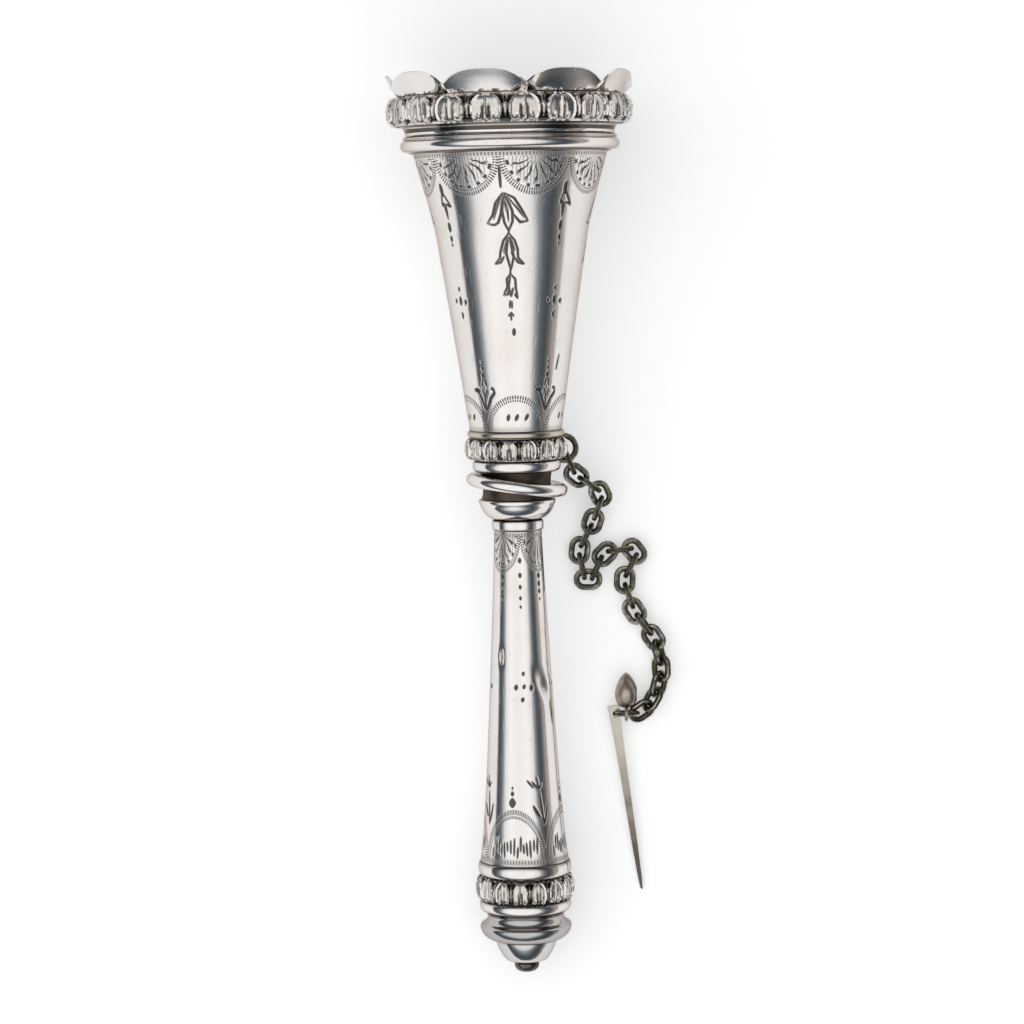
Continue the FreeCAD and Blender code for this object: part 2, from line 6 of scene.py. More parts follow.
import bpy
import numpy as np
from mathutils import Matrix, Vector


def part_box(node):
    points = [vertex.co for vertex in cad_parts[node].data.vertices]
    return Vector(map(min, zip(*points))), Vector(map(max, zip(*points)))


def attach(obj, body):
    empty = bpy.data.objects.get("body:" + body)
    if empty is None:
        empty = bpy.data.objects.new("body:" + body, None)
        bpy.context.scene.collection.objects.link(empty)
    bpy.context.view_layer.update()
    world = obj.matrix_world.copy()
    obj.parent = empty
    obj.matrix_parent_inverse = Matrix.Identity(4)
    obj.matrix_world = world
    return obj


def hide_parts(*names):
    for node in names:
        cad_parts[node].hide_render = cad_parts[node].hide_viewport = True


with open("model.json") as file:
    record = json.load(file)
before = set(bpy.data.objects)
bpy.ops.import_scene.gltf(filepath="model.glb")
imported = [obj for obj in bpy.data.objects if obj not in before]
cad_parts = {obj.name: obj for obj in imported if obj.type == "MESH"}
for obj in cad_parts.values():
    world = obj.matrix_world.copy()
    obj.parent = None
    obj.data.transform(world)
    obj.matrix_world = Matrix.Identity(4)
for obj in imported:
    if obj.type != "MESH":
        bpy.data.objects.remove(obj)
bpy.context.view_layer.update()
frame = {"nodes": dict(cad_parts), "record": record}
bpy.ops.object.select_all(action="DESELECT")

MM = 0.001

# ------------------------------------------------------------------ how the holder lies

MOUTH_HEIGHT = 140.8        # the mouth's bore, in mm along the axis from the knob's tip
mouth = next(m for m in frame["record"]["mounts"] if m["name"] == "mouth")
ALONG = Vector(mouth["axis"]).normalized()
ACROSS = Vector((1, 0, 0))
TIP = Vector(mouth["pos_m"]) - ALONG * MOUTH_HEIGHT * MM
DOWN = ALONG.cross(ACROSS)
LYING = Matrix.Translation(TIP) @ Matrix((ACROSS, DOWN, ALONG)).transposed().to_4x4()

# ------------------------------------------------------------------ camera, floor and light

CAMERA_HEIGHT = 520.0       # above the surface, looking straight down
LAYOUT_TO_AXIS = 0.9        # the holder's axis stands this far to the right of the middle
LAYOUT_TO_TIP = 75.5        # the knob's tip lies this far below the middle
SENSOR_WIDTH = 36
LENS = 109.69
ROLL = -1.2                 # degrees that the camera is turned about its own axis


def set_up_camera():
    camera = bpy.data.objects.new("camera", bpy.data.cameras.new("camera"))
    bpy.context.scene.collection.objects.link(camera)
    camera.data.sensor_width = SENSOR_WIDTH
    camera.data.lens = LENS
    camera.location = (TIP.x - LAYOUT_TO_AXIS * MM, TIP.y + LAYOUT_TO_TIP * MM,
                       CAMERA_HEIGHT * MM)
    camera.rotation_euler = (0, 0, math.radians(ROLL))
    bpy.context.scene.camera = camera
    bpy.context.scene.view_settings.view_transform = "Standard"


set_up_camera()


# ------------------------------------------------------------------ shader maths

class Value:
    """A quantity that varies over a surface. Arithmetic on it adds Math nodes."""

    def __init__(self, finish, socket):
        self.finish = finish
        self.socket = socket

    def maths(self, operation, *others, first=None):
        items = [self if first is None else first, *others]
        return self.finish.node("Math", {"operation": operation}, dict(enumerate(items)))

    def __add__(self, other):
        return self.maths("ADD", other)

    def __sub__(self, other):
        return self.maths("SUBTRACT", other)

    def __mul__(self, other):
        return self.maths("MULTIPLY", other)

    def __rsub__(self, other):
        return self.maths("SUBTRACT", self, first=other)

    def __neg__(self):
        return self * -1

    def __abs__(self):
        return self.maths("ABSOLUTE")

    __radd__ = __add__
    __rmul__ = __mul__

    def step(self, low, high):
        """0 below low, 1 above high, and smooth between them."""
        return self.finish.node("MapRange", {"interpolation_type": "SMOOTHSTEP"},
                                {"Value": self, "From Min": low, "From Max": high})


class Finish:
    """A material, its node tree and the coordinates that its pattern uses."""

    def __init__(self, name, tree=None, **constants):
        if tree is None:
            self.material = bpy.data.materials.new(name)
            self.material.use_nodes = True
            tree = self.material.node_tree
            self.shader = next(n for n in tree.nodes if n.type == "BSDF_PRINCIPLED")
            for socket, value in constants.items():
                self.shader.inputs[socket.replace("_", " ")].default_value = value
        self.tree = tree

    def node(self, kind, settings=None, inputs=None, out=0):
        """Add a node: its settings first, then the values or links of its sockets."""
        node = self.tree.nodes.new("ShaderNode" + kind)
        for name, value in (settings or {}).items():
            setattr(node, name, value)
        for name, value in (inputs or {}).items():
            if isinstance(value, Value):
                self.tree.links.new(value.socket, node.inputs[name])
            else:
                node.inputs[name].default_value = value
        return Value(self, node.outputs[out])

    def place(self, scale=(1, 1, 1)):
        """Where a point is on the piece, in metres, stretched by scale."""
        coordinates = self.node("TexCoord", out="Object")
        return self.node("Mapping", {"vector_type": "POINT"},
                         {"Vector": coordinates, "Scale": scale})

    def turned_place(self):
        """The angle round the holder's axis in degrees, from the top, and the height in mm."""
        coordinates = self.node("TexCoord", out="Object")
        local = self.node("Mapping", {"vector_type": "TEXTURE"},
                          {"Vector": coordinates, "Location": LYING.to_translation(),
                           "Rotation": LYING.to_euler()})
        apart = self.node("SeparateXYZ", {}, {0: local})
        across = apart
        down = Value(self, apart.socket.node.outputs[1])
        height = Value(self, apart.socket.node.outputs[2])
        angle = across.maths("ARCTAN2", -down) * (180 / math.pi)
        return angle, height * (1 / MM)

    def noise(self, size, detail=3.0, stretch=(1, 1, 1), distortion=0.0):
        """Cloudy variation about 0.5, with features of about size mm."""
        vector = self.place(stretch)
        return self.node("TexNoise", {}, {"Vector": vector, "Scale": 1 / (size * MM),
                                          "Detail": detail, "Distortion": distortion})

    def attribute(self, name):
        return self.node("Attribute", {"attribute_name": name}, out="Fac")

    def mix(self, amount, first, second):
        """Blend two colours, each a colour or a link."""
        return self.node("Mix", {"data_type": "RGBA"}, {0: amount, 6: first, 7: second}, out=2)

    def wear(self, height, depth, strength=1.0):
        """Bump of depth mm from a height that runs from 0 to 1."""
        bump = self.node("Bump", {}, {"Height": height, "Distance": depth * MM,
                                      "Strength": strength})
        self.tree.links.new(bump.socket, self.shader.inputs["Normal"])

    def set(self, **links):
        for name, value in links.items():
            self.tree.links.new(value.socket, self.shader.inputs[name.replace("_", " ")])


def colour(red, green, blue):
    return (red, green, blue, 1.0)


BRIGHT = colour(0.80, 0.765, 0.74)
WARM = colour(0.72, 0.64, 0.57)
DULL = colour(0.44, 0.40, 0.36)
# Near black for the painted shade in the leaf work's hollows.
HOLLOW_SHADE = colour(0.035, 0.030, 0.026)
# Black of the engraved cuts, also used for the darkening at the joints and the painted shadow in
# the handle's dents.
CUT_AND_SHADE_BLACK = colour(0.060, 0.052, 0.045)


EDGE_TINT = colour(0.62, 0.57, 0.54)   # how much of the light a grazing view keeps


def silver_surface(finish, shine, patches=0.5, scratches=0.5):
    """Colour, roughness and surface marks that all the bright silver shares."""
    cloud = finish.noise(9.0, 4.0)
    speck = finish.noise(1.1, 5.0, distortion=0.4)
    stain = cloud.step(0.50, 0.78) * patches
    tone = finish.mix(stain, BRIGHT, WARM)
    tone = finish.mix(speck.step(0.60, 0.80) * (0.5 * patches), tone, DULL)
    lines = finish.noise(0.5, 2.0, stretch=(1.0, 0.08, 1.0))
    marks = lines.step(0.62, 0.72) * scratches
    rough = shine + stain * 0.12 + marks * 0.10 + speck.step(0.5, 0.8) * 0.06
    ripple = finish.noise(6.0, 1.0)
    return tone, rough, marks * -0.25 + ripple * 0.9


def polished(name, shine=0.10, patches=0.5, tint=None):
    finish = Finish(name, Metallic=1.0, Specular_Tint=EDGE_TINT)
    tone, rough, marks = silver_surface(finish, shine, patches)
    if tint:
        tone = finish.mix(0.6, tone, tint)
    # Darker towards black where the piece meets its neighbours, read from its own attribute.
    tone = finish.mix(finish.attribute("grime_and_shade") * 0.95, tone, CUT_AND_SHADE_BLACK)
    finish.set(Base_Color=tone, Roughness=rough)
    finish.wear(marks, 0.035)
    return finish.material


def swag_row(finish, angle, height, count, joint, base, reach, shell=False):
    """Wriggle-work arcs that hang from, or stand on, a line at the height base.

    reach is how far they drop, negative, or rise. Returns the cut lines and the shell cuts."""
    pitch = 360 / count
    turn = (angle - joint + 720) * (1 / pitch)
    across = (turn.maths("FRACT") - 0.5) * 2
    away = (height - base) * (1 / reach)
    spread = (across * across + away * away).maths("SQRT")
    bearing = away.maths("ARCTAN2", across)
    within = away.step(0.0, 0.03)
    ticks = (bearing * (math.tau * abs(reach) / 0.46)).maths("SINE").step(-0.3, 0.4)
    outer = (1 - abs(spread - 0.975) * (1 / 0.06)).step(0.0, 0.4)
    inner = (1 - abs(spread - 0.875) * (1 / 0.032)).step(0.0, 0.4)
    lines = outer.maths("MAXIMUM", inner) * ticks * within
    if not shell:
        return lines, None
    cloud = finish.noise(1.6, 2.0)
    rays = ((bearing + cloud * 0.5) * 15.0).maths("SINE")
    deep = rays.step(0.45, 0.85) * (1 - spread.step(0.60, 0.80)) * spread.step(0.12, 0.30)
    fine = ((across + cloud * 0.1) * 62.0).maths("SINE").step(0.3, 0.8) * 0.45
    fine = fine * (1 - spread.step(0.66, 0.80))
    dashes = (bearing * 17.0 + cloud * 4.0).maths("SINE").step(0.1, 0.5)
    edge = (1 - abs(spread - 0.79) * (1 / 0.05)).step(0.0, 0.4) * dashes
    return lines, deep.maths("MAXIMUM", fine).maths("MAXIMUM", edge) * within


def engraved(name, rows, bands, shine=0.13):
    """Silver with hand cut strokes, from the piece's own cut attribute, and wriggle work."""
    finish = Finish(name, Metallic=1.0, Specular_Tint=EDGE_TINT)
    tone, rough, marks = silver_surface(finish, shine, 0.45, 0.8)
    angle, height = finish.turned_place()
    cut = finish.attribute("cut").step(0.34, 0.54)
    for row in rows:
        lines, shell = swag_row(finish, angle, height, **row)
        cut = cut.maths("MAXIMUM", lines * 0.95)
        if shell is not None:
            cut = cut.maths("MAXIMUM", shell)
    for level, width, pitch in bands:
        near = (1 - abs(height - level) * (1 / width)).step(0.0, 0.4)
        ticks = (angle * (math.tau / pitch)).maths("SINE").step(-0.2, 0.5)
        cut = cut.maths("MAXIMUM", near * ticks * 0.6)
    # Darkened to grey and then near black from the piece's own attribute: darker at its ends, with
    # a painted shadow in the handle's dents.
    grime_and_shade = finish.attribute("grime_and_shade").step(0.0, 1.0)
    tone = finish.mix(grime_and_shade * 0.75, tone, DULL)
    tone = finish.mix(finish.attribute("grime_and_shade").step(0.80, 1.0) * 0.85, tone, CUT_AND_SHADE_BLACK)
    tone = finish.mix(cut * 0.93, tone, CUT_AND_SHADE_BLACK)
    finish.set(Base_Color=tone, Roughness=rough + cut * 0.3 + grime_and_shade * 0.12)
    finish.wear(marks * 0.35 - cut, 0.06)
    return finish.material


def leaf_cast(name):
    """Cast leaf work, coloured from its relief: a painted highlight on its ridges and painted
    shade in its hollows.
    """
    finish = Finish(name, Metallic=1.0, Specular_Tint=EDGE_TINT)
    relief = finish.attribute("relief")
    grain = finish.noise(0.7, 4.0)
    # The tone follows the relief height: painted shade low down, a painted highlight on the
    # ridges.
    high = (relief + (grain - 0.5) * 0.30).step(0.22, 0.58)
    tone = finish.mix(high, HOLLOW_SHADE, colour(0.46, 0.42, 0.37))
    tone = finish.mix((relief + (grain - 0.5) * 0.25).step(0.50, 0.82), tone, BRIGHT)
    finish.set(Base_Color=tone, Roughness=0.40 - high * 0.24)
    finish.wear(grain, 0.06)
    return finish.material


def oxidised(name):
    """Dark chain silver, rubbed bright on its outer faces, with a straw tint."""
    finish = Finish(name, Metallic=1.0, Specular_Tint=EDGE_TINT)
    patch = finish.noise(0.9, 3.0)
    fleck = finish.noise(2.2, 2.0)
    rubbed = (finish.attribute("rub") + (patch - 0.5) * 0.9).step(0.48, 1.0)
    straw = finish.mix(fleck.step(0.45, 0.62), colour(0.50, 0.47, 0.42), colour(0.56, 0.52, 0.33))
    tone = finish.mix(rubbed, colour(0.075, 0.068, 0.058), straw)
    finish.set(Base_Color=tone, Roughness=0.34 - rubbed * 0.12)
    finish.wear(patch, 0.05)
    return finish.material


def aged(name, base, stain, shine, node=None):
    """Dull silver with stained patches, stained all over towards the -Y end of a given node."""
    finish = Finish(name, Metallic=1.0, Specular_Tint=EDGE_TINT)
    cloud = finish.noise(2.6, 4.0)
    fine = finish.noise(0.4, 3.0, stretch=(1.0, 0.3, 1.0))
    stained = cloud.step(0.38, 0.68)
    if node:
        low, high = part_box(node)
        spot = finish.node("TexCoord", out="Object")
        along = finish.node("SeparateXYZ", {}, {0: spot}, out="Y")
        near_tip = (along - high[1]) * (1 / (low[1] - high[1]))
        stained = (near_tip * 1.1 + (cloud - 0.5) * 0.5).step(0.05, 0.95)
    tone = finish.mix(stained, base, stain)
    finish.set(Base_Color=tone, Roughness=shine + fine * 0.14)
    finish.wear(fine * 0.5 + cloud * 0.5, 0.04)
    return finish.material


POLISHED = polished("polished_silver")
PETAL_SILVER = polished("petal_silver", 0.07, 0.7)
ENGRAVED_CONE = engraved("engraved_cone_silver", [
    {"count": 8, "joint": -7.0, "base": 132.9, "reach": -5.9, "shell": True},
    {"count": 5, "joint": 36.5, "base": 89.4, "reach": 5.6}],
    [(133.25, 0.32, 2.2)])
ENGRAVED_HANDLE = engraved("engraved_handle_silver", [
    {"count": 4, "joint": 4.5, "base": 72.4, "reach": -6.0, "shell": True},
    {"count": 4, "joint": 30.5, "base": 19.6, "reach": 8.2}],
    [(19.5, 0.4, 4.0), (72.4, 0.3, 7.0)])
LEAF_SILVER = leaf_cast("leaf_silver")
CHAIN_SILVER = oxidised("oxidised_silver")
BUD_SILVER = aged("aged_silver", colour(0.50, 0.44, 0.37), colour(0.27, 0.23, 0.19), 0.24)
PIN_SILVER = aged("pin_silver", colour(0.52, 0.485, 0.41), colour(0.115, 0.098, 0.080), 0.20,
                  "stem_pin")
# The base and the cup are mixed towards dark grey: a painted dark reflection on their polished
# faces.
BASE_SILVER = polished("base_silver", 0.12, 0.7, colour(0.27, 0.27, 0.275))
CUP_SILVER = polished("cup_silver", 0.10, 0.6, colour(0.55, 0.55, 0.55))
FOOT_RING_SILVER = polished("foot_ring_silver", 0.18, 0.8, colour(0.42, 0.36, 0.25))
SPOOL_SILVER = aged("spool_silver", colour(0.11, 0.085, 0.068), colour(0.05, 0.042, 0.035), 0.35)
KNOB_SILVER = aged("knob_silver", colour(0.16, 0.15, 0.14), colour(0.07, 0.065, 0.06), 0.20)
INNER_SILVER = aged("inner_silver", colour(0.55, 0.53, 0.50), colour(0.36, 0.34, 0.31), 0.38)


ROOM_STRENGTH = 1.2
FLOOR_GLOW = 0.36           # light that the paper gives off by itself, to lift it to white


def lay_floor():
    bpy.ops.mesh.primitive_grid_add(x_subdivisions=8, y_subdivisions=8, size=4)
    floor = bpy.context.active_object
    floor.name = "studio_floor"
    paper = Finish("floor_paper", Roughness=0.75, Specular_IOR_Level=0.2,
                   Emission_Color=colour(1.0, 1.0, 1.0), Emission_Strength=FLOOR_GLOW)
    paper.set(Base_Color=paper.mix(paper.noise(40, 2.0), colour(0.93, 0.93, 0.93),
                                   colour(0.95, 0.95, 0.945)))
    floor.data.materials.append(paper.material)


def light_studio():
    """A wide soft box overhead, a little to the left, in a darker blue-grey room."""
    world = bpy.data.worlds.new("studio")
    bpy.context.scene.world = world
    world.use_nodes = True
    room = Finish("studio", tree=world.node_tree)
    background = next(n for n in room.tree.nodes if n.type == "BACKGROUND")
    direction = room.node("TexCoord", out="Generated")
    overhead = Vector((-0.19, -0.16, 0.967))
    facing = room.node("VectorMath", {"operation": "DOT_PRODUCT"},
                       {0: direction, 1: overhead}, out="Value")
    ramp = room.node("ValToRGB", {}, {0: facing})
    stops = ramp.socket.node.color_ramp
    shades = [(0.0, (0.36, 0.33, 0.31)), (0.10, (0.17, 0.165, 0.16)),
              (0.28, (0.050, 0.060, 0.072)), (0.47, (0.095, 0.115, 0.135)),
              (0.59, (0.27, 0.29, 0.31)), (0.70, (0.80, 0.81, 0.82)),
              (0.90, (0.98, 0.98, 0.98)), (1.0, (0.90, 0.90, 0.90))]
    stops.elements[0].position, stops.elements[0].color = 0.0, (*shades[0][1], 1)
    stops.elements[1].position, stops.elements[1].color = 1.0, (*shades[-1][1], 1)
    for position, shade in shades[1:-1]:
        stops.elements.new(position).color = (*shade, 1)
    room.tree.links.new(ramp.socket, background.inputs["Color"])
    background.inputs["Strength"].default_value = ROOM_STRENGTH


lay_floor()
light_studio()


# ------------------------------------------------------------------ bench tools

def edit():
    bpy.ops.object.mode_set(mode="EDIT")


def leave():
    bpy.ops.object.mode_set(mode="OBJECT")


def only(piece):
    bpy.ops.object.select_all(action="DESELECT")
    piece.select_set(True)
    bpy.context.view_layer.objects.active = piece


def soften(points, rounds=3):
    """Cut the corners of an open outline until it runs smoothly. Doubled points stay crisper."""
    points = [Vector(p) for p in points]
    for _ in range(rounds):
        eased = [points[0]]
        for start, end in zip(points, points[1:]):
            eased += [start.lerp(end, 0.25), start.lerp(end, 0.75)]
        points = eased + [points[-1]]
    return [tuple(p) for p in points]


def turned(name, outline, around=160, hollow=None):
    """Turn a half section, (radius, height) in mm, about the upright axis.

    The outline is closed through hollow, the radius of the hole that it leaves."""
    section = list(outline)
    if hollow is not None:
        section = [(hollow, section[0][1])] + section + [(hollow, section[-1][1])]
        section.append(section[0])
    bpy.ops.object.select_all(action="DESELECT")
    bpy.ops.mesh.primitive_plane_add(size=MM)
    piece = bpy.context.active_object
    piece.name = piece.data.name = name
    edit()
    bpy.ops.mesh.merge(type="CENTER")
    radius, height = section[0]
    bpy.ops.transform.translate(value=(radius * MM, 0, height * MM))
    for (r0, h0), (r1, h1) in zip(section, section[1:]):
        step = ((r1 - r0) * MM, 0, (h1 - h0) * MM)
        bpy.ops.mesh.extrude_region_move(TRANSFORM_OT_translate={"value": step})
    bpy.ops.mesh.select_all(action="SELECT")
    bpy.ops.mesh.spin(steps=around, angle=math.tau, center=(0, 0, 0), axis=(0, 0, 1))
    tidy_mesh()
    leave()
    return piece


def tidy_mesh():
    bpy.ops.mesh.select_all(action="SELECT")
    bpy.ops.mesh.remove_doubles(threshold=0.002 * MM)
    bpy.ops.mesh.normals_make_consistent(inside=False)


def points_of(piece):
    """The piece's points in mm, one row each."""
    places = np.empty(len(piece.data.vertices) * 3, np.float32)
    piece.data.vertices.foreach_get("co", places)
    return places.reshape(-1, 3).astype(float) / MM


def round_the_axis(piece):
    """Angle from the top in degrees, radius and height in mm of each point of a turned piece."""
    x, y, z = points_of(piece).T
    return np.degrees(np.arctan2(x, -y)), np.hypot(x, y), z


def mark(piece, name, shares):
    """Write a number for each point where the finish can read it."""
    layer = piece.data.attributes.new(name, "FLOAT", "POINT")
    layer.data.foreach_set("value", shares.astype(np.float32))


def press(piece, depth, shares, direction="NORMAL"):
    """Push points by up to depth mm, outwards if positive, each by its own share."""
    group = piece.vertex_groups.new(name="press")
    levels = np.round(np.clip(shares, 0, 1) * 255).astype(int)
    for level in np.unique(levels):
        if level:
            group.add(np.flatnonzero(levels == level).tolist(), level / 255, "REPLACE")
    shape = piece.modifiers.new("press", "DISPLACE")
    shape.direction = direction
    shape.strength = depth * MM
    shape.mid_level = 0.0
    shape.vertex_group = "press"
    only(piece)
    bpy.ops.object.modifier_apply(modifier="press")
    piece.vertex_groups.clear()


def apply_modifier(piece, kind, **settings):
    modifier = piece.modifiers.new(kind.lower(), kind)
    for name, value in settings.items():
        setattr(modifier, name, value)
    only(piece)
    bpy.ops.object.modifier_apply(modifier=modifier.name)


def finish_piece(piece, place, nodes, body, material, sharp=35):
    """Put a piece in its place, and say what it stands for."""
    piece.matrix_world = place
    only(piece)
    bpy.ops.object.transform_apply(location=True, rotation=True, scale=True)
    bpy.ops.object.shade_smooth_by_angle(angle=math.radians(sharp))
    piece.data.materials.clear()
    piece.data.materials.append(material)
    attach(piece, body)
    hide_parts(*nodes)
    return piece


def holder_piece(piece, node, material, sharp=35):
    return finish_piece(piece, LYING, [node], "holder", material, sharp)


def smooth(x, low, high):
    t = np.clip((x - low) / (high - low), 0, 1)
    return t * t * (3 - 2 * t)


# ------------------------------------------------------------------ plain turned pieces

ROD_CLEARANCE = 1.62        # radius of the hole that the tie rod passes through
MOUTH_RADIUS = 16.9


def half_round(foot, top, radius, shoulder=0.6, steps=14):
    """A rounded moulding between two short shoulders."""
    middle, half = (foot + top) / 2, (top - foot) / 2
    inner = radius - shoulder - half * 0.55
    swell = [(radius - shoulder + shoulder * math.sin(math.pi * i / steps) ** 0.7,
              middle - half * math.cos(math.pi * i / steps)) for i in range(steps + 1)]
    return [(inner, foot)] + swell + [(inner, top)]


def plain_ring(name, node, outline, around, hollow, material=None, dark_reach=0.2):
    """A turned piece of the stack, darker towards the ends where it meets its neighbours."""
    piece = turned(name, outline, around, hollow)
    height = round_the_axis(piece)[2]
    near = np.minimum(height - height.min(), height.max() - height)
    # Darker towards both ends of the piece, falling off over dark_reach mm.
    mark(piece, "grime_and_shade", np.exp(-(near / dark_reach) ** 2) if dark_reach else near * 0)
    holder_piece(piece, node, material or POLISHED)


def make_turned_pieces():
    knob = soften([(0, 0), (0.9, 0.0), (1.7, 0.35), (2.05, 1.0), (2.0, 1.5), (1.7, 1.9)])
    plain_ring("finial_knob_dome", "finial_knob", knob + [(0, 1.9)], 72, None, KNOB_SILVER, 0)
    cup = soften([(1.75, 1.9), (1.75, 1.9), (3.0, 1.95), (3.6, 2.3), (4.3, 3.4), (4.85, 4.7),
                  (5.05, 5.6), (5.05, 5.6)])
    plain_ring("base_cup_body", "base_cup", cup, 160, ROD_CLEARANCE, CUP_SILVER)
    flange = soften([(5.05, 5.6), (5.05, 5.6), (6.1, 5.7), (7.1, 6.5), (7.5, 7.4), (7.5, 8.0),
                     (7.2, 8.25), (6.6, 8.6), (6.25, 9.2), (6.3, 9.8), (6.7, 10.3),
                     (6.9, 10.5), (6.9, 10.5)])
    plain_ring("base_flange_scotia", "base_flange", flange, 192, ROD_CLEARANCE, BASE_SILVER,
               0.35)
    plain_ring("base_ring_bead", "base_ring", half_round(10.5, 12.3, 7.5, 0.7), 192,
               ROD_CLEARANCE, None, 0.3)
    bead = soften([(6.5, 16.3), (7.0, 16.3), (7.35, 16.55), (7.62, 17.1), (7.62, 17.8),
                   (7.5, 18.4), (7.2, 18.8), (6.5, 18.8)])
    plain_ring("base_bead_single", "base_bead_ring", bead, 192, ROD_CLEARANCE, None, 0.45)
    drum = soften([(3.6, 72.9), (3.9, 72.9), (4.15, 73.1), (4.2, 73.3), (4.2, 74.3),
                   (4.15, 74.5), (3.9, 74.7), (3.6, 74.7)])
    plain_ring("neck_bead_drum", "neck_bead", drum, 160, ROD_CLEARANCE, None, 0.28)
    knop = soften([(3.7, 74.7), (4.0, 74.7), (4.6, 75.0), (5.3, 75.6), (5.8, 76.4),
                   (6.05, 77.1), (6.25, 77.5), (6.25, 77.85), (6.0, 78.1), (5.4, 78.1),
                   (5.4, 78.1)])
    plain_ring("knop_cup_bowl", "knop_cup", knop, 176, ROD_CLEARANCE)
    spool = soften([(5.75, 78.1), (5.75, 78.1), (5.55, 78.9), (5.45, 80.3), (5.55, 81.7),
                    (5.75, 82.5), (5.75, 82.5)])
    plain_ring("neck_spool_waist", "neck_spool", spool, 160, ROD_CLEARANCE, SPOOL_SILVER)
    plain_ring("neck_collar_bead", "neck_collar", half_round(82.5, 84.5, 7.15, 0.8), 192,
               ROD_CLEARANCE, None, 0.3)
    ring = soften([(6.8, 88.0), (7.5, 88.0), (7.55, 88.12), (7.55, 88.22), (7.83, 88.3),
                   (7.87, 88.65), (7.83, 89.0), (7.6, 89.1), (7.55, 89.3), (6.8, 89.3)])
    plain_ring("cone_foot_fillet", "cone_foot_ring", ring, 208, 6.3, FOOT_RING_SILVER, 0.24)
    moulding = soften([(15.72, 133.72), (16.1, 133.72), (16.2, 133.95), (16.9, 134.0),
                       (17.5, 134.4), (17.7, 135.0), (17.5, 135.65), (17.0, 135.9),
                       (17.0, 136.0), (17.3, 136.1), (17.3, 136.25), (17.0, 136.4),
                       (16.8, 136.9), (16.9, 137.5), (17.35, 137.95), (17.6, 138.1)])
    closing = [(17.6, 138.1), (17.22, 138.1), (15.66, 133.72)]
    plain_ring("rim_moulding_torus", "rim_moulding", moulding + closing + moulding[:1], 320,
               None, None, 0.3)


# ------------------------------------------------------------------ leaf bands

def leaf_relief(angle, rise, count):
    """Relief from 0 to 1 of broad tongued leaves with narrow darts between them."""
    across = 2 * ((angle * count / 360) % 1) - 1
    side = np.abs(across)
    width = 0.85 * np.sqrt(np.clip(1 - np.abs((rise - 0.43) / 0.60) ** 2.6, 0, 1))
    edge = side - width
    inside = smooth(-edge, 0.0, 0.12)
    border = np.exp(-((edge + 0.10) / 0.10) ** 2)
    rib = np.exp(-(across / 0.075) ** 2) * inside
    lobe = np.exp(-((side - 0.34) / 0.15) ** 2 - ((rise - 0.24) / 0.17) ** 2)
    cheek = np.exp(-((side - 0.26) / 0.10) ** 2 - ((rise - 0.62) / 0.2) ** 2) * 0.6
    dart_width = 0.06 + 0.10 * rise
    dart = np.exp(-((1 - side) / dart_width) ** 2) * smooth(rise, 0.02, 0.22)
    dart = dart * (1 - 0.7 * np.exp(-((1 - side) / 0.045) ** 2) * smooth(rise, 0.5, 0.8))
    vein = 1 - 0.55 * np.exp(-((side - 0.17) / 0.05) ** 2) * smooth(-rise, -0.75, -0.45)
    field = inside * 0.66 * vein
    return np.clip(np.maximum.reduce([border, rib * 0.85, lobe * 0.95, cheek, dart * 0.9, field]),
                   0, 1)


def leaf_band(name, node, foot, top, radius, hollow, count, depth, per_leaf, first=0.0):
    """A rounded band with cast leaves round its outside."""
    steps = 40
    middle, half = (foot + top) / 2, (top - foot) / 2
    swell = half * 0.62
    outline = [(radius - swell - 0.1, foot)]
    for i in range(steps + 1):
        turn = math.pi * i / steps
        outline.append((radius - swell + swell * math.sin(turn) ** 0.75,
                        middle - half * math.cos(turn)))
    outline.append((radius - swell - 0.1, top))
    piece = turned(name, outline, count * per_leaf, hollow)
    angle, reach, height = round_the_axis(piece)
    rise = (height - foot) / (top - foot)
    relief = leaf_relief(angle - first, rise, count)
    outside = smooth(reach, radius - swell - 0.05, radius - swell + 0.25)
    relief = 1 - (1 - relief) * outside
    mark(piece, "relief", np.where(outside > 0.02, relief, 0.3))
    press(piece, -depth, 1 - relief)
    return holder_piece(piece, node, LEAF_SILVER, 60)


def make_leaf_bands():
    leaf_band("rim_leaf_work", "rim_leaf_band", 138.1, 142.7, 19.85, 17.46, 20, 0.75, 36,
              -2.0)
    leaf_band("neck_leaf_work", "neck_leaf_band", 84.5, 88.0, 8.38, 6.3, 16, 0.55, 28, 3.0)
    leaf_band("base_leaf_work", "base_leaf_band", 12.3, 16.3, 8.18, ROD_CLEARANCE, 16, 0.6, 28,
              5.0)


# ------------------------------------------------------------------ petals round the mouth

PETALS = 9
FIRST_GAP = 8.0             # degrees from the top to the first gap between petals
PETAL_GAP_DEPTH = 2.1
PETAL_CROWN = 0.14          # how far the middle of a petal bulges
PETAL_SHEET = 0.36


def make_petals():
    foot, top = 141.9, 146.4
    outline = soften([(17.5, foot), (17.6, 142.6), (18.1, 143.8), (18.85, 145.2), (19.5, top)], 3)
    piece = turned("rim_petal_frill", outline, PETALS * 44)
    angle, _, height = round_the_axis(piece)
    rise = (height - foot) / (top - foot)
    across = 2 * (((angle - FIRST_GAP) * PETALS / 360) % 1) - 1
    drop = np.clip(np.abs(across) ** 3.0 * 1.06, 0, 1)
    crown = 0.5 * np.cos(across * math.pi / 2) ** 2
    press(piece, PETAL_CROWN, crown * smooth(rise, 0.35, 0.8))
    press(piece, -PETAL_GAP_DEPTH, drop * np.clip(rise, 0, 1), "Z")
    apply_modifier(piece, "SOLIDIFY", thickness=PETAL_SHEET * MM, offset=-1.0)
    holder_piece(piece, "rim_petals", PETAL_SILVER, 50)


# ------------------------------------------------------------------ engraved cone and handle

